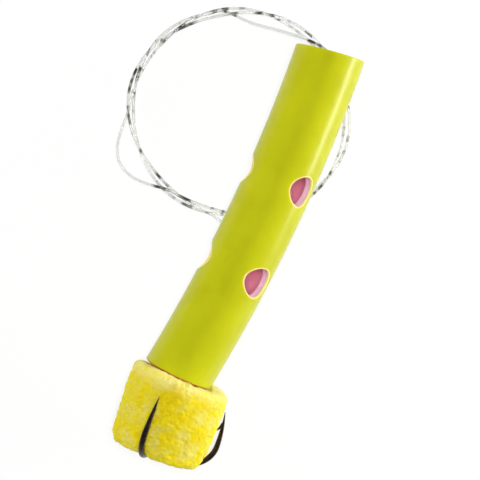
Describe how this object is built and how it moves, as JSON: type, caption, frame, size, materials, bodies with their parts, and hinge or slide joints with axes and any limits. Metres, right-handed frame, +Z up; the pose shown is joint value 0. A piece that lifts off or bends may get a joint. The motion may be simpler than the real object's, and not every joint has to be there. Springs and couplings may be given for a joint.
{
  "type": "fishing bait tube rig",
  "caption": "Soft punched bait tube with a pink lining, a foam sponge held on a treble hook at its lower end, and a coiled clear nylon leader.",
  "frame": {"origin": "on the floor under the middle of the box round the tube, sponge and hook", "axes": "+X from the hook end towards the tube's mouth, +Y to the side the leader is coiled on, +Z up from the floor it lies on"},
  "size_m": [0.0829, 0.0437, 0.0198],
  "materials": {
    "tube_skin": "satin soft plastic",
    "tube_lining": "matt soft plastic",
    "foam": "open-cell foam",
    "hook_wire": "dark bronze",
    "nylon": "clear monofilament"
  },
  "bodies": {
    "tube": {"bait_tube": "tube_skin", "tube_liner": "tube_lining", "leader_lead": "nylon", "leader_coil": "nylon", "loop_knot": "nylon", "end_loop": "nylon"},
    "line": {"leader_in_tube": "nylon"},
    "hook": {"hook_pair": "hook_wire", "hook_third": "hook_wire", "sponge": "foam", "leader_knot": "nylon"}
  },
  "joints": [
    {"name": "line_draw", "type": "slide", "parent": "tube", "child": "line", "axis": [-0.9965, -0.0837, 0], "range_m": [0, 0.02]},
    {"name": "hook_spin", "type": "hinge", "parent": "line", "child": "hook", "pos_m": [-0.02466, 0.00161, 0.00855], "axis": [0.9965, 0.0837, 0], "continuous": true}
  ]
}
